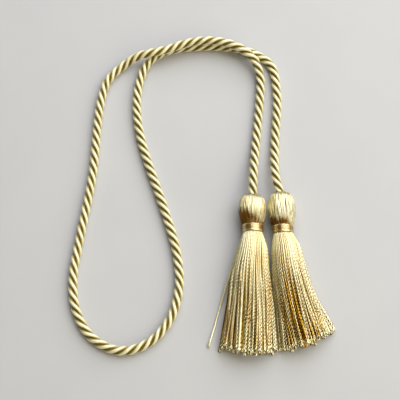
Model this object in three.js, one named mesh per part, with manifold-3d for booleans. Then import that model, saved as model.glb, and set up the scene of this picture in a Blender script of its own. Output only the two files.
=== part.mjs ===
// Double-ended tassel: one twisted cord with a yarn tassel at each end, laid out flat.
// Millimetres, +Z up. The piece lies on z = 0, and the origin is under the middle of the two tassels.

import * as THREE from 'three';
import { mergeVertices } from 'three/addons/utils/BufferGeometryUtils.js';
import Module from 'manifold-3d';

const wasm = await Module();
wasm.setup();

// Cord: three strands laid left-handed, so that the section is a trefoil that turns along the route
const CORD_RADIUS = 2.25;
const CORD_VALLEY_RADIUS = 1.45;
const CORD_STRANDS = 3;
const CORD_LAY = 15;
const CORD_STEPS_PER_LAY = 10;
const CORD_POINTS_PER_STRAND = 3;
const ROUTE_DIVISIONS = 2000;

// Tassel: head, neck and skirt lie along the tassel's own Y, with the skirt towards -Y
const AXIS_HEIGHT = 6.0;
const NECK_RADIUS = 4.1;
const NECK_END = -0.3;
const HEAD_SIDES = 32;
const FIT_GAP = 0.3;

// Binding: a tight winding round the neck
const BINDING_RADIUS = 4.95;
const BINDING_EDGE_RADIUS = 4.75;
const BINDING_BOTTOM = 0.1;
const BINDING_TOP = 4.0;
const BINDING_ROUND = 0.5;

// Skirt: layers of yarn, one inside the other, each with its share of the outer layer's size
const YARN_SIDES = 3;
const LEAST_DEPTH = 1e-6;
const SKIRT_LAYERS = [
  { share: 1.0, yarns: 52 },
  { share: 0.73, yarns: 39 },
  { share: 0.46, yarns: 24 },
  { share: 0.2, yarns: 7 },
];

// Cut ends: the yarns at the skirt's corners end sooner, and a wave along each layer makes the ends uneven
const CORNER_RISE = 0.042;
const END_UNEVENNESS = 0.035;
const END_WAVE = 7.3;
const END_WAVE_PER_LAYER = 2.1;

// Skirt sections from the neck to the cut ends, along being the share of the skirt's length. The outline
// is an upper and a lower half ellipse that meet at the height widest.
const SKIRT_SECTIONS = [
  { along: -0.02, top: 9.05, widest: 5.95, base: 2.85, yarnWidth: 0.31 },
  { along: 0.1, top: 11.2, widest: 4.6, base: 0.8, yarnWidth: 0.42 },
  { along: 0.3, top: 11.8, widest: 1.8, base: 0.0, yarnWidth: 0.5 },
  { along: 0.65, top: 9.9, widest: 0.0, base: 0.0, yarnWidth: 0.62 },
  { along: 1.0, top: 7.7, widest: 0.0, base: 0.0, yarnWidth: 0.75 },
];

// Head from the neck to the rim of the dimple that takes the cord
const HEAD_PROFILE = [
  { radius: 4.8, y: 4.3 },
  { radius: 5.45, y: 6.0 },
  { radius: 6.1, y: 8.4 },
  { radius: 6.45, y: 11.0 },
  { radius: 6.45, y: 13.6 },
  { radius: 6.1, y: 15.9 },
  { radius: 5.3, y: 17.6 },
  { radius: 3.6, y: 18.8 },
];
const DIMPLE_RADIUS = 2.75;
const DIMPLE_FLOOR = 17.35;

// The two tassels: place of the skirt's start, turn in degrees, how far the head is stretched, the skirt's
// length and slant of its cut, and its half-width and the drift of its middle at each section
const TASSELS = [
  {
    name: 'left', x: -8.45, y: 18.4, turn: 0, headStretch: 0.95, skirtLength: 56.5, cutSlant: -0.012,
    halfWidths: [3.1, 6.6, 8.7, 10.95, 13.0], drifts: [0, 0.2, -1.1, -1.8, -2.6], strayYarn: 41,
  },
  {
    name: 'right', x: 5.65, y: 17.9, turn: 1.5, headStretch: 1.06, skirtLength: 52.3, cutSlant: 0.0765,
    halfWidths: [3.1, 6.5, 7.9, 9.9, 12.6], drifts: [-0.1, 1.2, 2.2, 5.3, 8.65], strayYarn: null,
  },
];

// One yarn at the left skirt's corner strays from the rest: where it starts to, and how far it gets
const STRAY_BEND = 0.3;
const STRAY_END = -5.4;

// Route of the cord's centre from the left head to the right one: out of the head, down to the surface,
// up over the cord's other end, round the long loop and back under itself
const CORD_ROUTE = [
  [-8.3, 35.7, 6.0],
  [-7.7, 48.0, 5.3],
  [-6.4, 61.5, 2.5],
  [-3.6, 89.0, 2.15],
  [-3.3, 100.0, 2.8],
  [-6.2, 108.0, 5.5],
  [-13.0, 113.6, 6.95],
  [-21.5, 117.1, 6.95],
  [-31.2, 118.0, 6.95],
  [-41.0, 116.2, 6.95],
  [-49.6, 113.0, 6.95],
  [-57.0, 111.3, 7.0],
  [-64.0, 110.1, 5.3],
  [-71.0, 106.6, 2.6],
  [-78.6, 98.9, 2.15],
  [-82.2, 87.0, 2.15],
  [-85.0, 48.0, 2.15],
  [-89.9, 16.5, 2.15],
  [-92.2, -1.5, 2.15],
  [-90.5, -16.5, 2.15],
  [-83.2, -29.4, 2.15],
  [-70.2, -36.0, 2.15],
  [-57.2, -32.8, 2.15],
  [-47.2, -22.0, 2.15],
  [-43.0, -7.4, 2.15],
  [-44.2, 10.0, 2.15],
  [-49.2, 28.0, 2.15],
  [-62.2, 68.0, 2.15],
  [-64.4, 87.0, 2.15],
  [-62.3, 101.2, 2.15],
  [-57.6, 109.8, 2.15],
  [-48.1, 115.0, 2.15],
  [-33.0, 117.0, 2.15],
  [-17.0, 116.4, 2.15],
  [-5.5, 112.8, 2.15],
  [2.2, 106.5, 2.15],
  [4.8, 92.0, 2.15],
  [3.0, 61.5, 2.5],
  [2.7, 48.0, 5.3],
  [5.0, 36.8, 6.0],
];

const cordFinish = new THREE.MeshStandardMaterial({ color: 0xcfc27a, roughness: 0.4, metalness: 0 });
const yarnFinish = new THREE.MeshStandardMaterial({ color: 0xc49a52, roughness: 0.45, metalness: 0 });
const bindingFinish = new THREE.MeshStandardMaterial({ color: 0xc9a55c, roughness: 0.3, metalness: 0.3 });

// A closed bar of the given sides and steps, each point put where place(along, angle, reach) says.
// along runs from 0 to 1 and reach is 1 on the bar's skin and 0 in the middle of its two ends.
function shapedBar(sides, steps, firstAngle, place) {
  const bar = new THREE.CylinderGeometry(1, 1, 1, sides, steps, false, firstAngle);
  const points = bar.attributes.position;
  for (let i = 0; i < points.count; i++) {
    const across = new THREE.Vector2(points.getZ(i), points.getX(i));
    const spot = place(points.getY(i) + 0.5, across.angle(), across.length());
    points.setXYZ(i, spot.x, spot.y, spot.z);
  }
  return bar;
}

// Raises whatever is under the surface to it, which leaves a flat where the piece rests
function restOnSurface(geometry) {
  const points = geometry.attributes.position;
  for (let i = 0; i < points.count; i++) {
    points.setZ(i, Math.max(points.getZ(i), 0));
  }
  return geometry;
}

function toSolid(geometry) {
  const bare = geometry.clone();
  bare.deleteAttribute('normal');
  bare.deleteAttribute('uv');
  const merged = mergeVertices(bare);
  const vertProperties = new Float32Array(merged.attributes.position.array);
  const triVerts = new Uint32Array(merged.index.array);
  return new wasm.Manifold(new wasm.Mesh({ numProp: 3, vertProperties, triVerts }));
}

function toGeometry(solid) {
  const mesh = solid.getMesh();
  const geometry = new THREE.BufferGeometry();
  geometry.setAttribute('position', new THREE.BufferAttribute(mesh.vertProperties, mesh.numProp));
  geometry.setIndex(new THREE.BufferAttribute(mesh.triVerts, 1));
  geometry.computeVertexNormals();
  return geometry;
}

function cordGeometry() {
  const route = new THREE.CatmullRomCurve3(CORD_ROUTE.map((point) => new THREE.Vector3(...point)));
  route.arcLengthDivisions = ROUTE_DIVISIONS;
  const length = route.getLength();
  const turns = length / CORD_LAY;
  const sides = CORD_STRANDS * CORD_POINTS_PER_STRAND;
  const shoulder = Math.PI / sides;
  const crest = 1 + Math.cos(CORD_STRANDS * shoulder);
  const up = new THREE.Vector3(0, 0, 1);
  const place = (along, angle, reach) => {
    const lobe = (1 + Math.cos(CORD_STRANDS * angle)) / crest;
    const radius = reach * (CORD_VALLEY_RADIUS + (CORD_RADIUS - CORD_VALLEY_RADIUS) * lobe);
    const turned = angle - 2 * Math.PI * turns * along;
    const ahead = route.getTangentAt(along);
    const side = new THREE.Vector3().crossVectors(up, ahead).normalize();
    const above = new THREE.Vector3().crossVectors(ahead, side);
    return route
      .getPointAt(along)
      .addScaledVector(side, radius * Math.cos(turned))
      .addScaledVector(above, radius * Math.sin(turned));
  };
  return restOnSurface(shapedBar(sides, Math.round(turns * CORD_STEPS_PER_LAY), shoulder, place));
}

function headGeometry(stretch) {
  const bottom = HEAD_PROFILE[0].y;
  const stretched = (y) => bottom + stretch * (y - bottom);
  const floor = stretched(DIMPLE_FLOOR);
  const outline = [new THREE.Vector2(0, NECK_END), new THREE.Vector2(NECK_RADIUS, NECK_END)];
  outline.push(new THREE.Vector2(NECK_RADIUS, bottom));
  for (const { radius, y } of HEAD_PROFILE) {
    outline.push(new THREE.Vector2(radius, stretched(y)));
  }
  outline.push(new THREE.Vector2(DIMPLE_RADIUS, floor), new THREE.Vector2(0, floor));
  const head = new THREE.LatheGeometry(outline, HEAD_SIDES);
  return restOnSurface(head.translate(0, 0, AXIS_HEIGHT));
}

function bindingGeometry() {
  const inner = NECK_RADIUS + FIT_GAP;
  const outline = [
    new THREE.Vector2(inner, BINDING_BOTTOM),
    new THREE.Vector2(BINDING_EDGE_RADIUS, BINDING_BOTTOM),
    new THREE.Vector2(BINDING_RADIUS, BINDING_BOTTOM + BINDING_ROUND),
    new THREE.Vector2(BINDING_RADIUS, BINDING_TOP - BINDING_ROUND),
    new THREE.Vector2(BINDING_EDGE_RADIUS, BINDING_TOP),
    new THREE.Vector2(inner, BINDING_TOP),
  ];
  outline.push(outline[0].clone());
  return new THREE.LatheGeometry(outline, HEAD_SIDES).translate(0, 0, AXIS_HEIGHT);
}

// The outline of one layer at one section, from the middle of its base round to there again
function layerOutline(section, share, fullWidth) {
  const middle = (section.top + section.base) / 2;
  const halfWidth = share * fullWidth;
  const towards = (height) => middle + share * (height - middle);
  const [top, widest, base] = [section.top, section.widest, section.base].map(towards);
  const halves = new THREE.CurvePath();
  const quarter = Math.PI / 2;
  const lower = Math.max(widest - base, LEAST_DEPTH);
  halves.add(new THREE.EllipseCurve(0, widest, halfWidth, lower, -quarter, 0));
  halves.add(new THREE.EllipseCurve(0, widest, halfWidth, top - widest, 0, 2 * quarter));
  halves.add(new THREE.EllipseCurve(0, widest, halfWidth, lower, 2 * quarter, 3 * quarter));
  return halves;
}

// A yarn is three-sided, with a flat side down, and runs through one place in each section's outline
function yarnGeometry(tassel, outlines, share, lengthFactor, strays) {
  const stops = SKIRT_SECTIONS.map((section, i) => {
    const last = i === SKIRT_SECTIONS.length - 1;
    const spot = outlines[i].getPointAt(share);
    const fan = spot.x / tassel.halfWidths[i];
    const cut = (last ? lengthFactor : 1) * (1 - CORNER_RISE * fan * fan - tassel.cutSlant * fan);
    const astray = strays ? STRAY_END * Math.max(0, section.along - STRAY_BEND) / (1 - STRAY_BEND) : 0;
    const sideways = tassel.drifts[i] + astray;
    return new THREE.Vector3(spot.x + sideways, -section.along * tassel.skirtLength * cut, spot.y);
  });
  const steps = SKIRT_SECTIONS.length - 1;
  const place = (along, angle, reach) => {
    const i = Math.round(along * steps);
    const radius = SKIRT_SECTIONS[i].yarnWidth / Math.sqrt(3);
    const spot = stops[i].clone();
    spot.x -= reach * radius * Math.sin(angle);
    spot.z += radius / 2 + reach * radius * Math.cos(angle);
    return spot;
  };
  return shapedBar(YARN_SIDES, steps, 0, place);
}

function tasselGeometry(tassel) {
  const pieces = [toSolid(headGeometry(tassel.headStretch))];
  SKIRT_LAYERS.forEach((layer, depth) => {
    const outlines = SKIRT_SECTIONS.map((section, i) =>
      layerOutline(section, layer.share, tassel.halfWidths[i]),
    );
    for (let i = 0; i < layer.yarns; i++) {
      const share = (i + 0.5) / layer.yarns;
      const wave = Math.sin(END_WAVE * i + END_WAVE_PER_LAYER * depth);
      const lengthFactor = 1 + END_UNEVENNESS * (wave - 1) / 2;
      const strays = depth === 0 && i === tassel.strayYarn;
      pieces.push(toSolid(yarnGeometry(tassel, outlines, share, lengthFactor, strays)));
    }
  });
  return toGeometry(wasm.Manifold.union(pieces));
}

function makeTassel(tassel) {
  const group = new THREE.Group();
  const hank = new THREE.Mesh(tasselGeometry(tassel), yarnFinish);
  hank.name = `tassel_${tassel.name}`;
  const binding = new THREE.Mesh(bindingGeometry(), bindingFinish);
  binding.name = `binding_${tassel.name}`;
  group.add(hank, binding);
  group.position.set(tassel.x, tassel.y, 0);
  group.rotation.z = THREE.MathUtils.degToRad(tassel.turn);
  return group;
}

const doubleEndedTassel = new THREE.Group();
const cord = new THREE.Mesh(cordGeometry(), cordFinish);
cord.name = 'cord';
doubleEndedTassel.add(cord, ...TASSELS.map(makeTassel));

export default doubleEndedTassel;
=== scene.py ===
"""Double-ended tassel: a twisted gold cord with a yarn tassel at each end, lying on a pale table."""

import math

import bmesh
import bpy
import numpy as np
from mathutils import Matrix, Vector


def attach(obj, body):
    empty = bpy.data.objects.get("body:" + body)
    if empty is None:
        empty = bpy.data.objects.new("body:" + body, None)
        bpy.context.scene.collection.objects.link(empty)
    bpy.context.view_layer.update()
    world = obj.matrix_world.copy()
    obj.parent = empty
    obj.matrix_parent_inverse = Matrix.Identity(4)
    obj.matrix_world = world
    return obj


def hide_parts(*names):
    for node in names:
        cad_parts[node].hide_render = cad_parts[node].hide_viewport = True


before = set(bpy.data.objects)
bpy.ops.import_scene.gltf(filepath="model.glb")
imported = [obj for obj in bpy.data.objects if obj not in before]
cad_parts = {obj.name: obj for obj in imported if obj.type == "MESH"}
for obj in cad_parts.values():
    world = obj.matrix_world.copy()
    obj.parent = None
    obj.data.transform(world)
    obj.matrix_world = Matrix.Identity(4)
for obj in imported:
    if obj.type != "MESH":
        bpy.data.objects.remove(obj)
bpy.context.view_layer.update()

# All sizes are in metres, in the frame of the solids: +Z up from the table, skirts towards -Y
TAU = 2 * math.pi
UP = np.array([0.0, 0.0, 1.0])
ACROSS = np.array([1.0, 0.0, 0.0])
TABLE_CLEARANCE = 0.00002
MERGE_DISTANCE = 1e-7
YARN_SEED = 5351

# Camera: above the table, leaning back from straight down
CAMERA_AIM = Vector((-0.0332, 0.0366, 0.0))
CAMERA_DISTANCE = 0.453
CAMERA_ELEVATION = math.radians(72)
CAMERA_LENS = 85.0
CAMERA_SENSOR = 36.0

# Lights: soft boxes, in degrees of tilt from straight above to the back (front below zero) and of turn
LIGHTS = {
    "window": {
        "tilt": 41, "turn": -32, "distance": 1.2, "width": 1.8, "height": 1.6,
        "watts": 30.0, "tint": (1.0, 0.99, 0.97),
    },
    "card": {
        "tilt": -55, "turn": 45, "distance": 1.2, "width": 1.6, "height": 1.0,
        "watts": 11.0, "tint": (1.0, 0.9, 0.66),
    },
}
SKY_TINT = (1.0, 0.84, 0.45, 1.0)
SKY_STRENGTH = 0.08

# Table: pale, with a faint cloud between two display colours and in its gloss
TABLE_HALF_SIZE = 3.0
TABLE_DARK = (177, 179, 185)
TABLE_PALE = (185, 187, 192)
TABLE_CLOUD_SCALE = 30.0
TABLE_CLOUD_DETAIL = 3.0
TABLE_ROUGHNESS = 0.6
TABLE_CLOUD_ROUGHNESS = 0.1

# Satin finishes: display colours of the painted shade in the grooves and of deep and pale yarns, fine
# filaments and their bump, how wide the grooves' painted shade reaches, and the gloss, more metallic on
# deeper yarns
FINISHES = {
    "rope": {
        "groove_shade": (128, 112, 10), "deep": (202, 191, 116), "pale": (240, 233, 196),
        "filaments": 30, "filament_slant": 400.0, "bump": 0.6, "bump_depth": 0.00003, "grain": 0.2,
        "groove_shade_width": 1.0, "roughness": 0.45, "metallic": 0.0, "deep_metallic": 0.4,
        "ior": 2.4, "tint": (1.0, 0.99, 0.88, 1.0),
    },
    "skirt": {
        "groove_shade": (92, 60, 0), "deep": (208, 162, 34), "pale": (250, 241, 172),
        "filaments": 18, "filament_slant": 300.0, "bump": 0.5, "bump_depth": 0.00003, "grain": 0.2,
        "groove_shade_width": 1.75, "roughness": 0.17, "metallic": 0.0, "deep_metallic": 0.88,
        "ior": 6.0, "tint": (1.0, 1.0, 0.88, 1.0),
    },
    "head": {
        "groove_shade": (124, 84, 14), "deep": (230, 219, 162), "pale": (247, 244, 214),
        "filaments": 12, "filament_slant": 60.0, "bump": 0.9, "bump_depth": 0.00005, "grain": 0.05,
        "groove_shade_width": 1.0, "roughness": 0.3, "metallic": 0.9, "deep_metallic": 0.1,
        "ior": 4.0, "tint": (1.0, 0.99, 0.84, 1.0),
    },
    "binding": {
        "groove_shade": (52, 30, 2), "deep": (132, 92, 26), "pale": (222, 192, 120),
        "filaments": 6, "filament_slant": 60.0, "bump": 0.3, "bump_depth": 0.00004, "grain": 0.05,
        "groove_shade_width": 1.0, "roughness": 0.2, "metallic": 0.3, "deep_metallic": 0.2,
        "ior": 5.5, "tint": (1.0, 0.97, 0.7, 1.0),
    },
}

# Clouds of tone and fine grain that all the satin finishes share
SATIN_CLOUD_SCALE = 260.0
SATIN_CLOUD_STRETCH = 3.0
SATIN_CLOUD_TONE = 0.8
SATIN_GRAIN_SCALE = 2600.0
SATIN_GRAIN_DYE = 0.5
SATIN_GRAIN_ROUGHNESS = 0.15
SATIN_NOISE_DETAIL = 2.0
SATIN_TONE_GLOSS = 0.06
SATIN_FILAMENT_HEIGHT = 0.5

# Rope: three strands laid left-handed, each of fine plies laid the other way
ROPE_DIAMETER = 0.0045
ROPE_LAY = 0.015
ROPE_STRANDS = 3
ROPE_STEP = 0.00055
ROUTE_SAMPLES = 8000
STRAND_OFFSET = 0.00115
STRAND_HALF_DEPTH = 0.00103
STRAND_HALF_WIDTH = 0.00106
STRAND_PLIES = 7
STRAND_PLY_RISE = 0.03
STRAND_PLY_LAY = 0.009
POINTS_PER_PLY = 3
# ROPE_VALLEY and ROPE_RIDGE set painted shade in the strands' valleys and painted light on their ridges
ROPE_VALLEY = 0.0011
ROPE_RIDGE = (0.54, 0.8)

# Route of the rope's centre (x, y, z): left head, over its own other end, round the loop, right head
ROPE_ROUTE = [
    (-0.0083, 0.0357, 0.00600),
    (-0.0077, 0.0480, 0.00530),
    (-0.0064, 0.0615, 0.00250),
    (-0.0036, 0.0890, 0.00215),
    (-0.0033, 0.1000, 0.00280),
    (-0.0062, 0.1080, 0.00550),
    (-0.0130, 0.1136, 0.00695),
    (-0.0215, 0.1171, 0.00695),
    (-0.0312, 0.1180, 0.00695),
    (-0.0410, 0.1162, 0.00695),
    (-0.0496, 0.1130, 0.00695),
    (-0.0570, 0.1113, 0.00700),
    (-0.0640, 0.1101, 0.00530),
    (-0.0710, 0.1066, 0.00260),
    (-0.0786, 0.0989, 0.00215),
    (-0.0822, 0.0870, 0.00215),
    (-0.0850, 0.0480, 0.00215),
    (-0.0899, 0.0165, 0.00215),
    (-0.0922, -0.0015, 0.00215),
    (-0.0905, -0.0165, 0.00215),
    (-0.0832, -0.0294, 0.00215),
    (-0.0702, -0.0360, 0.00215),
    (-0.0572, -0.0328, 0.00215),
    (-0.0472, -0.0220, 0.00215),
    (-0.0430, -0.0074, 0.00215),
    (-0.0442, 0.0100, 0.00215),
    (-0.0492, 0.0280, 0.00215),
    (-0.0622, 0.0680, 0.00215),
    (-0.0644, 0.0870, 0.00215),
    (-0.0623, 0.1012, 0.00215),
    (-0.0576, 0.1098, 0.00215),
    (-0.0481, 0.1150, 0.00215),
    (-0.0330, 0.1170, 0.00215),
    (-0.0170, 0.1164, 0.00215),
    (-0.0055, 0.1128, 0.00215),
    (0.0022, 0.1065, 0.00215),
    (0.0048, 0.0920, 0.00215),
    (0.0030, 0.0615, 0.00250),
    (0.0027, 0.0480, 0.00530),
    (0.0050, 0.0368, 0.00600),
]

# Tassels: place of the skirt's start, turn in degrees, the way to the other tassel, stretch of the head,
# where and how deep painted shade browns its neck end, length of the skirt, slant of its cut, half-width
# and drift of its middle at each section, outer yarns that stray, and patches of painted shade, painted
# light below zero
TASSELS = {
    "left": {
        "x": -0.00845, "y": 0.0184, "turn": 0.0, "inward": 1, "stretch": 0.95,
        "neck_shade_start": 0.7, "neck_shade_slant": 0.18, "neck_shade_depth": 0.8,
        "length": 0.0565, "slant": -0.012,
        "half_widths": [0.0040, 0.0049, 0.0062, 0.0084, 0.01095, 0.0134],
        "drifts": [0.0, -0.0001, -0.0001, -0.0011, -0.0018, -0.0030],
        "stray_yarns": [33],
        "painted_shades": [
            {"fan": -0.95, "along": 0.15, "half_width": 0.3, "half_length": 0.2, "depth": -0.4},
            {"fan": -0.85, "along": 0.75, "half_width": 0.22, "half_length": 0.3, "depth": 0.6},
            {"fan": -0.42, "along": 0.75, "half_width": 0.12, "half_length": 0.3, "depth": -0.25},
            {"fan": -0.22, "along": 0.55, "half_width": 0.15, "half_length": 0.25, "depth": 0.4},
            {"fan": 0.42, "along": 0.75, "half_width": 0.2, "half_length": 0.3, "depth": -0.25},
            {"fan": 0.85, "along": 0.55, "half_width": 0.2, "half_length": 0.25, "depth": 0.45},
            {"fan": 0.0, "along": 0.8, "half_width": 2.0, "half_length": 0.4, "depth": 0.14},
        ],
    },
    "right": {
        "x": 0.00565, "y": 0.0179, "turn": 1.5, "inward": -1, "stretch": 1.06,
        "neck_shade_start": 0.81, "neck_shade_slant": 0.1, "neck_shade_depth": 0.74,
        "length": 0.0523, "slant": 0.0765,
        "half_widths": [0.0040, 0.0049, 0.0061, 0.0075, 0.0092, 0.0126],
        "drifts": [0.0, 0.0002, 0.0009, 0.0018, 0.0046, 0.00865],
        "stray_yarns": [],
        "painted_shades": [
            {"fan": -0.95, "along": 0.3, "half_width": 0.3, "half_length": 0.3, "depth": -0.4},
            {"fan": -0.5, "along": 0.2, "half_width": 0.25, "half_length": 0.12, "depth": 0.25},
            {"fan": -0.2, "along": 0.68, "half_width": 0.55, "half_length": 0.35, "depth": 0.55},
            {"fan": -0.13, "along": 0.88, "half_width": 0.2, "half_length": 0.15, "depth": 0.3},
            {"fan": 0.75, "along": 0.5, "half_width": 0.3, "half_length": 0.4, "depth": -0.2},
            {"fan": 0.0, "along": 0.8, "half_width": 2.0, "half_length": 0.4, "depth": 0.17},
        ],
    },
}
AXIS_HEIGHT = 0.006

# Head: outline of the barrel (radius, place along the axis), from inside the dimple to under the binding
HEAD_BOTTOM = 0.0043
HEAD_OUTLINE = [
    (0.0026, 0.0174),
    (0.0029, 0.0184),
    (0.0036, 0.0188),
    (0.0045, 0.0184),
    (0.0053, 0.0176),
    (0.0061, 0.0159),
    (0.00645, 0.0136),
    (0.00645, 0.0110),
    (0.0061, 0.0084),
    (0.00545, 0.0060),
    (0.0048, 0.0044),
    (0.0044, 0.0036),
]
HEAD_CORE_DEPTH = 0.0003
CORE_STEPS = 48

# Head threads: each shifts and sways (in threads), rises and falls, has darker dashes of painted shade for
# the dark lines between threads, and painted shade on its flanks
HEAD_THREADS = 50
HEAD_THREAD_STEPS = 34
HEAD_THREAD_POINTS = 10
HEAD_THREAD_HALF_DEPTH = 0.00028
HEAD_THREAD_OVERLAP = 1.4
HEAD_THREAD_SHIFT = 0.4
HEAD_THREAD_SWAY = 0.35
HEAD_THREAD_UNEVENNESS = 0.00012
HEAD_UNEVENNESS_WAVES = 1.3
HEAD_DASHES = 1.0
HEAD_DASHES_SPREAD = 2.0
HEAD_DASH_SHARPNESS = 2.5
HEAD_DASH_LEVEL = 1.2
HEAD_DASH_SHADE_DEPTH = 0.3
HEAD_FLANK_SHADE_CREST = 0.4

# The head's dimple gets painted shade, and its neck end a brown painted shade with a ragged edge, a little
# less on the right
HEAD_DIMPLE_SHADE_FADE = (0.06, 0.2)
HEAD_DIMPLE_SHADE_CREST = 0.1
HEAD_NECK_SHADE_FADE = 0.11
HEAD_NECK_SHADE_RAGGEDNESS = 0.1
HEAD_NECK_SHADE_LEAN = 0.25

# Binding: turns of fine thread round the neck, with painted light at both edges, where the ends tuck in
BINDING_RADIUS = 0.00472
BINDING_BOTTOM = 0.0004
BINDING_TOP = 0.0037
BINDING_TURNS = 7
BINDING_THREAD_HALF_DEPTH = 0.0003
BINDING_THREAD_HALF_WIDTH = 0.00042
BINDING_STEPS_PER_TURN = 64
BINDING_POINTS = 8
BINDING_TUCK = 0.0006
BINDING_TUCK_TURNS = 1 / 6
BINDING_PAINTED_LIGHT_TURNS = 0.6
BINDING_MIDDLE_SHADE = 0.8
BINDING_CORE_DEPTH = 0.0003

# Skirt sections from the neck to the cut ends: share of the length, heights and half a yarn's width
SKIRT_SECTIONS = [
    {"along": -0.02, "top": 0.0100, "widest": 0.0060, "base": 0.0020, "yarn": 0.00029},
    {"along": 0.03, "top": 0.0106, "widest": 0.0056, "base": 0.0012, "yarn": 0.00035},
    {"along": 0.10, "top": 0.0113, "widest": 0.0046, "base": 0.0008, "yarn": 0.00046},
    {"along": 0.30, "top": 0.0118, "widest": 0.0020, "base": 0.0006, "yarn": 0.00058},
    {"along": 0.65, "top": 0.0101, "widest": 0.0006, "base": 0.0006, "yarn": 0.00062},
    {"along": 1.0, "top": 0.0080, "widest": 0.0006, "base": 0.0006, "yarn": 0.00064},
]
OUTLINE_POINTS = 240

# Skirt layers from the outside in: share of the section's size, yarns, place of the first one, tone, lower
# for the inner layers as painted shade
SKIRT_LAYERS = [
    {"share": 1.0, "yarns": 42, "first": 0.25, "tone": 0.8, "detailed": True, "piece": "skirt_"},
    {"share": 0.92, "yarns": 44, "first": 0.75, "tone": 0.6, "detailed": True, "piece": "lining_"},
    {"share": 0.78, "yarns": 44, "first": 0.25, "tone": 0.3, "detailed": False, "piece": "filling_"},
    {"share": 0.48, "yarns": 30, "first": 0.75, "tone": 0.2, "detailed": False, "piece": "filling_"},
    {"share": 0.22, "yarns": 10, "first": 0.25, "tone": 0.2, "detailed": False, "piece": "filling_"},
]

# What chance decides for each yarn, in the order of its draws
YARN_FATES = ("lay", "wander", "phase", "lift", "turn", "crossing", "tone", "drift", "cut", "excess")

# Cut ends: higher at the corners, uneven, with a few longer yarns
CORNER_RISE = 0.042
END_UNEVENNESS = 0.045
LONG_YARNS = 0.06
LONG_YARN_EXCESS = 0.02
FRAY_LENGTH = 0.0016
FRAY_WIDTH = 0.35
# Painted light on the frayed ends, where loose fibres catch it
FRAY_PAINTED_LIGHT = 0.8

# Three-ply yarns: a groove at every third point of the section, shallower at the neck, untwisted if unseen
PLY_CREST = np.tile([0.0, 1.0, 1.0], 3)
PLY_GROOVE = 0.56
RELIEF_GROWTH = (0.1, 0.5)
NECK_RELIEF = 0.4
YARN_LAY = 0.005
YARN_LAY_SPREAD = 0.2
YARN_STEPS_PER_LAY = 13
INNER_YARN_STEPS = 22
SEEN_HEIGHT = 0.0015
YARN_TONE_SPREAD = 0.85
SHADE_RAGGEDNESS = 0.15

# Loose yarns: how far they clump (in yarns), wander, lift, sway together and cross their neighbours, with
# the ones next to the other tassel held from wandering
CLUMP_YARNS = 3.7
CLUMP_DRIFT = 0.45
CLUMP_LIFT = 0.0005
CLUMP_LIFT_WAVES = 1.2
YARN_DRIFT = 0.5
YARN_WANDER = 0.0007
YARN_WANDER_WAVES = 0.9
INNER_EDGE_HOLD = 4
YARN_LIFT = 0.0004
WIDE_SWAY = 0.35
WIDE_SWAY_YARNS = 17
CLOSE_SWAY = 0.2
CLOSE_SWAY_YARNS = 7.3
CROSSING_YARNS = 0.16
CROSSING_DRIFT = 2.4
CROSSING_LIFT = 0.0007
CROSSING_HEIGHT = 0.003

# Stray yarn: bends away from the skirt, thinner and smoother than the rest, and paler with painted light
STRAY_BEND = 0.3
STRAY_END = -0.0054
STRAY_GIRTH = 0.7
STRAY_RELIEF = 0.03
STRAY_PAINTED_LIGHT = 1.0


def unit(vectors):
    return vectors / np.linalg.norm(vectors, axis=-1, keepdims=True)


def spaced_round(points):
    return TAU * np.arange(points) / points


def round_axis(reach, angle, y):
    """Points at a reach and an angle round a tassel's axis."""
    return np.column_stack([reach * np.cos(angle), y, AXIS_HEIGHT + reach * np.sin(angle)])


def faired(knots, points, at):
    """The smooth curve that passes through points at their knots, read at each place in at."""
    slopes = np.gradient(points, knots, axis=0)
    first = np.clip(np.searchsorted(knots, at, side="right") - 1, 0, len(knots) - 2)
    gap = (knots[first + 1] - knots[first])[:, None]
    share = (at - knots[first])[:, None] / gap
    rest = 1 - share
    start = (1 + 2 * share) * rest**2 * points[first] + share * rest**2 * gap * slopes[first]
    end = share**2 * (1 + 2 * rest) * points[first + 1] - share**2 * rest * gap * slopes[first + 1]
    return start + end


def distance_along(points):
    steps = np.linalg.norm(np.diff(points, axis=0), axis=1)
    return np.concatenate([[0.0], np.cumsum(steps)])


def swept(centres, side, across, rise):
    """Rings of points round centres, each offset by across along side and by rise square to side."""
    ahead = unit(np.gradient(centres, axis=0))
    side = unit(side - np.sum(side * ahead, axis=1, keepdims=True) * ahead)
    above = np.cross(ahead, side)
    return centres[:, None] + across[..., None] * side[:, None] + rise[..., None] * above[:, None]


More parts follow.
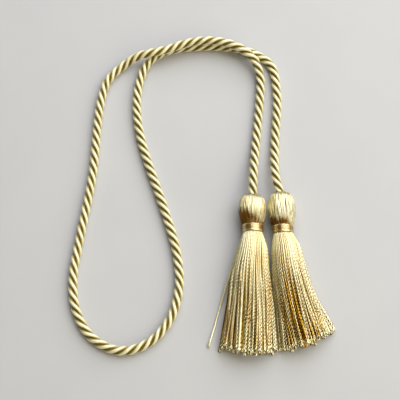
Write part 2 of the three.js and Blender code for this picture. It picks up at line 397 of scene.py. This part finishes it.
class Skein:
    """Yarns swept one by one and joined into one mesh. Each point knows how proud it stands on its yarn
    (crest), which sets the painted shade in the grooves, and its yarn's tone, which also carries painted
    shade and painted light, and the UV map runs round each yarn and, in metres, along it."""

    def __init__(self):
        self.points = []
        self.faces = []
        self.uvs = []
        self.crests = []
        self.tones = []
        self.size = 0

    def add(self, rings, crest, run, tone):
        rows, sides = rings.shape[:2]
        index = self.size + np.arange(rows * sides).reshape(rows, sides)
        after = np.roll(index, -1, axis=1)
        walls = np.stack([index[:-1], after[:-1], after[1:], index[1:]], axis=-1)
        self.faces += walls.reshape(-1, 4).tolist()
        self.faces += [index[0, ::-1].tolist(), index[-1].tolist()]
        around = np.arange(sides + 1) / sides
        uv = np.empty((rows - 1, sides, 4, 2))
        uv[..., 0] = np.stack([around[:-1], around[1:], around[1:], around[:-1]], axis=-1)
        uv[..., 1] = np.stack([run[:-1], run[:-1], run[1:], run[1:]], axis=-1)[:, None]
        self.uvs.append(uv.reshape(-1, 2))
        self.uvs.append(np.column_stack([around[:-1][::-1], np.full(sides, run[0])]))
        self.uvs.append(np.column_stack([around[:-1], np.full(sides, run[-1])]))
        self.points.append(rings.reshape(-1, 3))
        self.crests.append(np.broadcast_to(crest, (rows, sides)).ravel())
        self.tones.append(np.broadcast_to(tone, (rows, sides)).ravel())
        self.size += rows * sides

    def piece(self, name, finish, place):
        points = np.vstack(self.points)
        points[:, 2] = np.maximum(points[:, 2], TABLE_CLEARANCE)
        mesh = bpy.data.meshes.new(name)
        mesh.from_pydata(points, [], self.faces)
        mesh.uv_layers.new(name="lay").data.foreach_set("uv", np.vstack(self.uvs).ravel())
        for label, values in (("crest", self.crests), ("tone", self.tones)):
            mesh.attributes.new(label, "FLOAT", "POINT").data.foreach_set("value", np.concatenate(values))
        mesh.transform(place)
        mesh.shade_smooth()
        mesh.materials.append(finish)
        piece = bpy.data.objects.new(name, mesh)
        bpy.context.scene.collection.objects.link(piece)
        return piece


def add_core(piece, outline, place):
    """Spins a closed outline round a tassel's axis and joins it to the piece, under its yarns."""
    model = bmesh.new()
    model.from_mesh(piece.data)
    yarn_verts = set(model.verts)
    corners = [model.verts.new((radius, y, AXIS_HEIGHT)) for radius, y in outline]
    edges = [model.edges.new(pair) for pair in zip(corners, corners[1:])]
    bmesh.ops.spin(
        model,
        geom=corners + edges,
        cent=(0, 0, AXIS_HEIGHT),
        axis=(0, 1, 0),
        angle=TAU,
        steps=CORE_STEPS,
        use_merge=True,
    )
    core = [vert for vert in model.verts if vert not in yarn_verts]
    for vert in core:
        vert.co.z = max(vert.co.z, TABLE_CLEARANCE)
    bmesh.ops.transform(model, matrix=place, verts=core)
    bmesh.ops.remove_doubles(model, verts=core, dist=MERGE_DISTANCE)
    walls = {face for vert in model.verts if vert not in yarn_verts for face in vert.link_faces}
    bmesh.ops.recalc_face_normals(model, faces=list(walls))
    for face in walls:
        face.smooth = True
    model.to_mesh(piece.data)
    model.free()


# Camera

def set_camera():
    lens = bpy.data.cameras.new("camera")
    lens.lens = CAMERA_LENS
    lens.sensor_width = CAMERA_SENSOR
    camera = bpy.data.objects.new("camera", lens)
    back = Vector((0, -math.cos(CAMERA_ELEVATION), math.sin(CAMERA_ELEVATION)))
    camera.location = CAMERA_AIM + CAMERA_DISTANCE * back
    camera.rotation_euler = (-back).to_track_quat("-Z", "Y").to_euler()
    bpy.context.scene.collection.objects.link(camera)
    bpy.context.scene.camera = camera


# Materials

class Value:
    """A shader socket. Arithmetic on it adds Math nodes to its finish."""

    def __init__(self, finish, socket):
        self.finish = finish
        self.socket = socket

    def math(self, operation, first, second):
        return self.finish.node("ShaderNodeMath", {"operation": operation}, {0: first, 1: second})

    def __add__(self, other):
        return self.math("ADD", self, other)

    def __radd__(self, other):
        return self.math("ADD", other, self)

    def __sub__(self, other):
        return self.math("SUBTRACT", self, other)

    def __rsub__(self, other):
        return self.math("SUBTRACT", other, self)

    def __mul__(self, other):
        return self.math("MULTIPLY", self, other)

    def __rmul__(self, other):
        return self.math("MULTIPLY", other, self)

    def __pow__(self, other):
        return self.math("POWER", self, other)


class Finish:
    """One material. All of its nodes come from its node method."""

    def __init__(self, name):
        self.material = bpy.data.materials.new(name)
        self.material.use_nodes = True
        self.tree = self.material.node_tree
        self.tree.nodes.clear()

    def node(self, kind, settings, sockets, output=0):
        node = self.tree.nodes.new(kind)
        for name, setting in settings.items():
            setattr(node, name, setting)
        for key, value in sockets.items():
            if isinstance(value, Value):
                self.tree.links.new(value.socket, node.inputs[key])
            else:
                node.inputs[key].default_value = value
        return Value(self, node.outputs[output]) if node.outputs else None

    def attribute(self, name):
        return self.node("ShaderNodeAttribute", {"attribute_name": name}, {}, "Fac")

    def mix(self, share, first, second):
        """Mixes two colours. A Mix node's colours are its sockets 6 and 7 and its output 2."""
        return self.node("ShaderNodeMix", {"data_type": "RGBA"}, {0: share, 6: first, 7: second}, 2)

    def noise(self, scale, detail, stretch=1.0):
        """Noise on Object coordinates, stretched along Y, the way the skirts lie."""
        place = self.node("ShaderNodeTexCoord", {}, {}, "Object")
        place = self.node("ShaderNodeMapping", {}, {"Vector": place, "Scale": (1.0, 1.0 / stretch, 1.0)})
        sockets = {"Vector": place, "Scale": scale, "Detail": detail}
        return self.node("ShaderNodeTexNoise", {}, sockets, "Fac")

    def fibres(self, count, slant):
        """Fine filaments that wind round each yarn: a wave across the yarn's own UV map."""
        place = self.node("ShaderNodeUVMap", {"uv_map": "lay"}, {}, "UV")
        around = self.node("ShaderNodeSeparateXYZ", {}, {0: place}, "X")
        run = self.node("ShaderNodeSeparateXYZ", {}, {0: place}, "Y")
        wave = (around * count + run * slant) * TAU
        return self.node("ShaderNodeMath", {"operation": "SINE"}, {0: wave})

    def shade(self, sockets):
        surface = self.node("ShaderNodeBsdfPrincipled", {}, sockets)
        self.node("ShaderNodeOutputMaterial", {}, {"Surface": surface})
        return self.material


def colour(red, green, blue):
    """A linear colour from its display values, 0 to 255."""
    shares = [value / 255 for value in (red, green, blue)]
    linear = [share / 12.92 if share <= 0.04045 else ((share + 0.055) / 1.055) ** 2.4 for share in shares]
    return (*linear, 1.0)


def satin_yarn(name, look):
    """Satin yarn: painted shade in its grooves, its own tone on its crests, with fine filaments."""
    finish = Finish(name)
    crest = finish.attribute("crest")
    cloud = finish.noise(SATIN_CLOUD_SCALE, SATIN_NOISE_DETAIL, SATIN_CLOUD_STRETCH)
    grain = finish.noise(SATIN_GRAIN_SCALE, SATIN_NOISE_DETAIL)
    uneven = grain - 0.5
    tone = finish.attribute("tone") + (cloud - 0.5) * SATIN_CLOUD_TONE
    own = finish.mix(tone, colour(*look["deep"]), colour(*look["pale"]))
    # Painted shade: the groove colour takes over where the crest is low
    own_colour_share = crest ** look["groove_shade_width"] * (1 + uneven * SATIN_GRAIN_DYE)
    filament = finish.fibres(look["filaments"], look["filament_slant"])
    relief = filament * SATIN_FILAMENT_HEIGHT + grain * look["grain"]
    bump = finish.node(
        "ShaderNodeBump",
        {},
        {"Strength": look["bump"], "Distance": look["bump_depth"], "Height": relief},
    )
    return finish.shade({
        "Base Color": finish.mix(own_colour_share, colour(*look["groove_shade"]), own),
        "Roughness": look["roughness"] + uneven * SATIN_GRAIN_ROUGHNESS - (tone - 0.5) * SATIN_TONE_GLOSS,
        "Normal": bump,
        "Metallic": look["metallic"] + (1 - tone * crest) * look["deep_metallic"],
        "IOR": look["ior"],
        "Specular Tint": look["tint"],
    })


# Rope

def lay_rope(finish):
    route = np.array(ROPE_ROUTE)
    chords = np.linalg.norm(np.diff(route, axis=0), axis=1)
    knots = np.concatenate([[0.0], np.cumsum(np.sqrt(chords))])
    dense = faired(knots, route, np.linspace(0, knots[-1], ROUTE_SAMPLES))
    covered = distance_along(dense)
    run = np.linspace(0, covered[-1], int(covered[-1] / ROPE_STEP))
    centres = np.column_stack([np.interp(run, covered, dense[:, axis]) for axis in range(3)])
    side = np.cross(UP, unit(np.gradient(centres, axis=0)))
    around = spaced_round(STRAND_PLIES * POINTS_PER_PLY)
    skein = Skein()
    for strand in range(ROPE_STRANDS):
        turn = TAU * (strand / ROPE_STRANDS - run / ROPE_LAY)[:, None]
        ply_turn = around - TAU * run[:, None] / STRAND_PLY_LAY
        ply = 1 + STRAND_PLY_RISE * np.cos(STRAND_PLIES * ply_turn)
        out = STRAND_OFFSET + STRAND_HALF_DEPTH * ply * np.cos(around)
        over = STRAND_HALF_WIDTH * ply * np.sin(around)
        across = out * np.cos(turn) - over * np.sin(turn)
        rise = out * np.sin(turn) + over * np.cos(turn)
        # Painted light on the strands' proud ridges, painted shade towards their valleys
        proud = (np.hypot(out, over) - ROPE_VALLEY) / (ROPE_DIAMETER / 2 - ROPE_VALLEY)
        crest = np.clip((proud - ROPE_RIDGE[0]) / (ROPE_RIDGE[1] - ROPE_RIDGE[0]), 0, 1)
        skein.add(swept(centres, side, across, rise), crest, run, np.clip(proud, 0, 1))
    rope = skein.piece("rope", finish, Matrix())
    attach(rope, "root")
    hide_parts("cord")


# Tassels

def place_of(tassel):
    spot = Matrix.Translation((tassel["x"], tassel["y"], 0))
    return spot @ Matrix.Rotation(math.radians(tassel["turn"]), 4, "Z")


def wind_head(side_name, tassel, place, finish, chance):
    """The barrel of taut threads that are folded over the rope's end, on a spun core."""
    outline = np.array(HEAD_OUTLINE)
    outline[:, 1] = HEAD_BOTTOM + tassel["stretch"] * (outline[:, 1] - HEAD_BOTTOM)
    knots = distance_along(outline)
    share = np.linspace(0, 1, HEAD_THREAD_STEPS)
    radius, y = faired(knots, outline, share * knots[-1]).T
    half_width = HEAD_THREAD_OVERLAP * math.pi * radius[:, None] / HEAD_THREADS
    around = spaced_round(HEAD_THREAD_POINTS)
    # Painted shade on each thread's flanks, where its crest falls off
    edges = HEAD_FLANK_SHADE_CREST + (1 - HEAD_FLANK_SHADE_CREST) * np.abs(np.sin(around))
    skein = Skein()
    for thread in range(HEAD_THREADS):
        start, sway, phase, rise_phase, dash_phase, dash_pitch = chance.random(6)
        shift = HEAD_THREAD_SHIFT * start + HEAD_THREAD_SWAY * sway * np.sin(TAU * (share + phase))
        angle = TAU * (thread + shift) / HEAD_THREADS
        lift = HEAD_THREAD_UNEVENNESS * np.sin(TAU * (HEAD_UNEVENNESS_WAVES * share + rise_phase))
        centres = round_axis(radius - HEAD_THREAD_HALF_DEPTH + lift, angle, y)
        side = np.column_stack([-np.sin(angle), np.zeros_like(angle), np.cos(angle)])
        rings = swept(centres, side, half_width * np.cos(around), HEAD_THREAD_HALF_DEPTH * np.sin(around))
        # Painted shade: dark inside the dimple and brown towards the neck end, slanting across the head
        shade = np.interp(share, HEAD_DIMPLE_SHADE_FADE, (HEAD_DIMPLE_SHADE_CREST, 1.0))
        neck = share - tassel["neck_shade_start"] - tassel["neck_shade_slant"] * np.cos(angle)
        neck += HEAD_NECK_SHADE_RAGGEDNESS * (sway - 0.5)
        painted_neck_shade = np.interp(neck, (0.0, HEAD_NECK_SHADE_FADE), (0.0, tassel["neck_shade_depth"]))
        shade -= painted_neck_shade * (1 - HEAD_NECK_SHADE_LEAN * np.cos(angle))
        # Dashes of painted shade for the dark lines between threads
        dashes = HEAD_DASHES + HEAD_DASHES_SPREAD * dash_pitch
        dash = HEAD_DASH_SHARPNESS * np.sin(TAU * (dashes * share + dash_phase)) - HEAD_DASH_LEVEL
        shade -= HEAD_DASH_SHADE_DEPTH * np.clip(dash, 0, 1)
        skein.add(rings, np.clip(shade[:, None] * edges, 0, 1), distance_along(centres), start)
    head = skein.piece("head_" + side_name, finish, place)
    inset = [(radius - HEAD_CORE_DEPTH, y) for radius, y in outline]
    add_core(head, [(0.0, inset[0][1]), *inset, (0.0, inset[-1][1])], place)
    return head


def wind_binding(side_name, place, finish):
    """Fine thread wound tightly round the neck, with both its ends tucked in."""
    share = np.linspace(0, 1, BINDING_TURNS * BINDING_STEPS_PER_TURN)
    angle = TAU * BINDING_TURNS * share
    from_end = BINDING_TURNS * np.minimum(share, 1 - share)
    tucked = np.clip(1 - from_end / BINDING_TUCK_TURNS, 0, 1)
    y = BINDING_BOTTOM + (BINDING_TOP - BINDING_BOTTOM) * share
    centres = round_axis(BINDING_RADIUS - BINDING_TUCK * tucked**2, angle, y)
    outward = np.column_stack([np.cos(angle), np.zeros_like(angle), np.sin(angle)])
    around = spaced_round(BINDING_POINTS)
    across = BINDING_THREAD_HALF_DEPTH * np.cos(around)
    rise = BINDING_THREAD_HALF_WIDTH * np.sin(around)
    crest = np.clip(np.cos(around), 0, 1)
    # Painted light on the turns near both edges, painted shade on the middle turns
    tone = 1 - BINDING_MIDDLE_SHADE * np.clip(from_end - BINDING_PAINTED_LIGHT_TURNS, 0, 1)
    skein = Skein()
    skein.add(swept(centres, outward, across, rise), crest, distance_along(centres), tone[:, None])
    binding = skein.piece("winding_" + side_name, finish, place)
    outer = BINDING_RADIUS
    inner = BINDING_RADIUS - BINDING_CORE_DEPTH
    loop = [(inner, BINDING_BOTTOM), (outer, BINDING_BOTTOM), (outer, BINDING_TOP), (inner, BINDING_TOP)]
    add_core(binding, [*loop, loop[0]], place)
    return binding


def layer_places(section, size, reach, shares):
    """Where one layer's yarns cross a section: x and z at each share of the way round from its base."""
    middle = (section["top"] + section["base"]) / 2
    top, widest, base = (middle + size * (section[key] - middle) for key in ("top", "widest", "base"))
    angle = np.linspace(0, TAU, OUTLINE_POINTS) - TAU / 4
    x = size * reach * np.cos(angle)
    z = widest + np.where(np.sin(angle) > 0, top - widest, widest - base) * np.sin(angle)
    covered = distance_along(np.column_stack([x, z]))
    at = shares % 1.0 * covered[-1]
    return np.column_stack([np.interp(at, covered, x), np.interp(at, covered, z)])


def painted_shade_of(painted_shades, spread, along):
    """How much painted shade a yarn gets along its way, at its spread across the skirt, painted light
    below zero.
    """
    depth = np.zeros_like(along)
    for shade in painted_shades:
        across = (spread - shade["fan"]) / shade["half_width"]
        down = (along - shade["along"]) / shade["half_length"]
        depth += shade["depth"] * np.exp(-across**2 - down**2)
    return depth


def hang_yarn(skein, tassel, stations, spread, fate, sway, tone, detailed, strays):
    """One three-ply yarn through its stations, with its own wander, lay and frayed end."""
    along = np.array([section["along"] for section in SKIRT_SECTIONS])
    girth = np.array([section["yarn"] for section in SKIRT_SECTIONS])
    lay = YARN_LAY * (1 + YARN_LAY_SPREAD * (2 * fate["lay"] - 1))
    steps = int(tassel["length"] / lay * YARN_STEPS_PER_LAY) if detailed else INNER_YARN_STEPS
    share = np.linspace(along[0], along[-1], steps)
    centres = faired(along, stations, share)
    loose = np.clip(share, 0, 1)
    freedom = 1 - max(spread * tassel["inward"], 0) ** INNER_EDGE_HOLD
    wander = YARN_WANDER * freedom * (2 * fate["wander"] - 1)
    centres[:, 0] += wander * loose * np.sin(TAU * (YARN_WANDER_WAVES * share + fate["phase"]))
    centres[:, 2] += YARN_LIFT * loose * (2 * fate["lift"] - 1 + np.sin(TAU * (share + fate["phase"])))
    centres[:, 2] += CLUMP_LIFT * loose * np.sin(TAU * (CLUMP_LIFT_WAVES * share + sway))
    run = distance_along(centres)
    fray = np.clip((run - run[-1] + FRAY_LENGTH) / FRAY_LENGTH, 0, 1)
    radius = np.interp(share, along, girth) * (1 + FRAY_WIDTH * fray**2)
    radius *= STRAY_GIRTH if strays else 1.0
    centres[:, 2] = np.maximum(centres[:, 2], radius)
    turn = TAU * (run / lay * detailed + fate["turn"])[:, None] + spaced_round(len(PLY_CREST))
    relief = STRAY_RELIEF if strays else np.interp(share, RELIEF_GROWTH, (NECK_RELIEF, 1.0))[:, None]
    crest = 1 - relief * (1 - PLY_CREST)
    reach = radius[:, None] * (1 - PLY_GROOVE * (1 - crest))
    side = np.broadcast_to(ACROSS, centres.shape)
    rings = swept(centres, side, reach * np.cos(turn), reach * np.sin(turn))
    ragged = share + SHADE_RAGGEDNESS * (fate["wander"] - 0.5)
    # Painted shade patches darken the yarn's tone, or lighten it as painted light where their depth is
    # below zero
    tones = tone - painted_shade_of(tassel["painted_shades"], spread, ragged) + FRAY_PAINTED_LIGHT * fray
    skein.add(rings, crest, run, tones[:, None])


def hang_skirt(side_name, tassel, place, finish, chance):
    """The skirt's three-ply yarns, layer inside layer, from the neck to their uneven cut ends."""
    along = np.array([section["along"] for section in SKIRT_SECTIONS])
    reaches = np.array(tassel["half_widths"])
    loose = np.maximum(along, 0)
    astray = STRAY_END * np.maximum(along - STRAY_BEND, 0) / (1 - STRAY_BEND)
    skeins = {layer["piece"]: Skein() for layer in SKIRT_LAYERS}
    for depth, layer in enumerate(SKIRT_LAYERS):
        count = layer["yarns"]
        yarns = np.arange(count)
        fates = dict(zip(YARN_FATES, chance.random((count, len(YARN_FATES))).T))
        layer_phase = fates["tone"][0]
        crosses = fates["crossing"] < CROSSING_YARNS
        drift = CLUMP_DRIFT * np.sin(TAU * (yarns / CLUMP_YARNS + layer_phase))
        drift += YARN_DRIFT * (2 * fates["drift"] - 1)
        drift += CROSSING_DRIFT * crosses * np.sign(fates["drift"] - 0.5)
        places = np.array([
            layer_places(section, layer["share"], reach, (yarns + layer["first"] + drift * slack) / count)
            for section, reach, slack in zip(SKIRT_SECTIONS, reaches, loose)
        ])
        for yarn in yarns:
            fate = {name: draws[yarn] for name, draws in fates.items()}
            strays = depth == 0 and yarn in tassel["stray_yarns"]
            x, z = places[:, yarn].T
            fan = x / reaches
            cut = 1 - END_UNEVENNESS * fate["cut"] + LONG_YARN_EXCESS * (fate["excess"] < LONG_YARNS)
            length = tassel["length"] * cut * (1 - CORNER_RISE * fan**2 - tassel["slant"] * fan)
            height = z + CROSSING_LIFT * loose * crosses[yarn] * (z > CROSSING_HEIGHT)
            stations = np.column_stack([x + tassel["drifts"] + astray * strays, -along * length, height])
            sway = WIDE_SWAY * math.sin(TAU * yarn / WIDE_SWAY_YARNS + depth)
            sway += CLOSE_SWAY * math.sin(TAU * (yarn / CLOSE_SWAY_YARNS + layer_phase))
            # The stray yarn's tone gets painted light
            tone = layer["tone"] + YARN_TONE_SPREAD * (fate["tone"] - 0.5) + STRAY_PAINTED_LIGHT * strays
            detailed = layer["detailed"] and z[-2] > SEEN_HEIGHT
            skein = skeins[layer["piece"]]
            hang_yarn(skein, tassel, stations, fan[-1], fate, sway, tone, detailed, strays)
    return [skein.piece(name + side_name, finish, place) for name, skein in skeins.items()]


def make_tassel(side_name, tassel, finishes, chance):
    place = place_of(tassel)
    head = wind_head(side_name, tassel, place, finishes["head"], chance)
    skirt = hang_skirt(side_name, tassel, place, finishes["skirt"], chance)
    binding = wind_binding(side_name, place, finishes["binding"])
    for piece in (head, *skirt):
        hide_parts("tassel_" + side_name)
    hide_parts("binding_" + side_name)
    for piece in (head, *skirt, binding):
        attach(piece, "root")


# Table and light

def lay_table():
    model = bmesh.new()
    bmesh.ops.create_grid(model, x_segments=1, y_segments=1, size=TABLE_HALF_SIZE)
    mesh = bpy.data.meshes.new("table")
    model.to_mesh(mesh)
    model.free()
    finish = Finish("pale_table")
    cloud = finish.noise(TABLE_CLOUD_SCALE, TABLE_CLOUD_DETAIL)
    mesh.materials.append(finish.shade({
        "Base Color": finish.mix(cloud, colour(*TABLE_DARK), colour(*TABLE_PALE)),
        "Roughness": TABLE_ROUGHNESS + cloud * TABLE_CLOUD_ROUGHNESS,
    }))
    table = bpy.data.objects.new("table", mesh)
    bpy.context.scene.collection.objects.link(table)


def hang_light(name, sizes):
    lamp = bpy.data.lights.new(name, "AREA")
    lamp.shape = "RECTANGLE"
    lamp.size = sizes["width"]
    lamp.size_y = sizes["height"]
    lamp.energy = sizes["watts"]
    lamp.color = sizes["tint"]
    light = bpy.data.objects.new(name, lamp)
    tilt = math.radians(sizes["tilt"])
    way = Vector((0, math.sin(tilt), math.cos(tilt)))
    way.rotate(Matrix.Rotation(math.radians(sizes["turn"]), 3, "Z"))
    light.location = CAMERA_AIM + sizes["distance"] * way
    light.rotation_euler = way.to_track_quat("Z", "Y").to_euler()
    light.visible_camera = False
    bpy.context.scene.collection.objects.link(light)


def light_studio():
    for name, sizes in LIGHTS.items():
        hang_light(name, sizes)
    world = bpy.data.worlds.new("studio")
    world.use_nodes = True
    sky = world.node_tree.nodes["Background"]
    sky.inputs["Color"].default_value = SKY_TINT
    sky.inputs["Strength"].default_value = SKY_STRENGTH
    bpy.context.scene.world = world
    bpy.context.scene.view_settings.view_transform = "Standard"


set_camera()
satins = {name: satin_yarn(name + "_satin", look) for name, look in FINISHES.items()}
lay_rope(satins["rope"])
yarn_chance = np.random.default_rng(YARN_SEED)
for tassel_side, tassel_sizes in TASSELS.items():
    make_tassel(tassel_side, tassel_sizes, satins, yarn_chance)
lay_table()
light_studio()
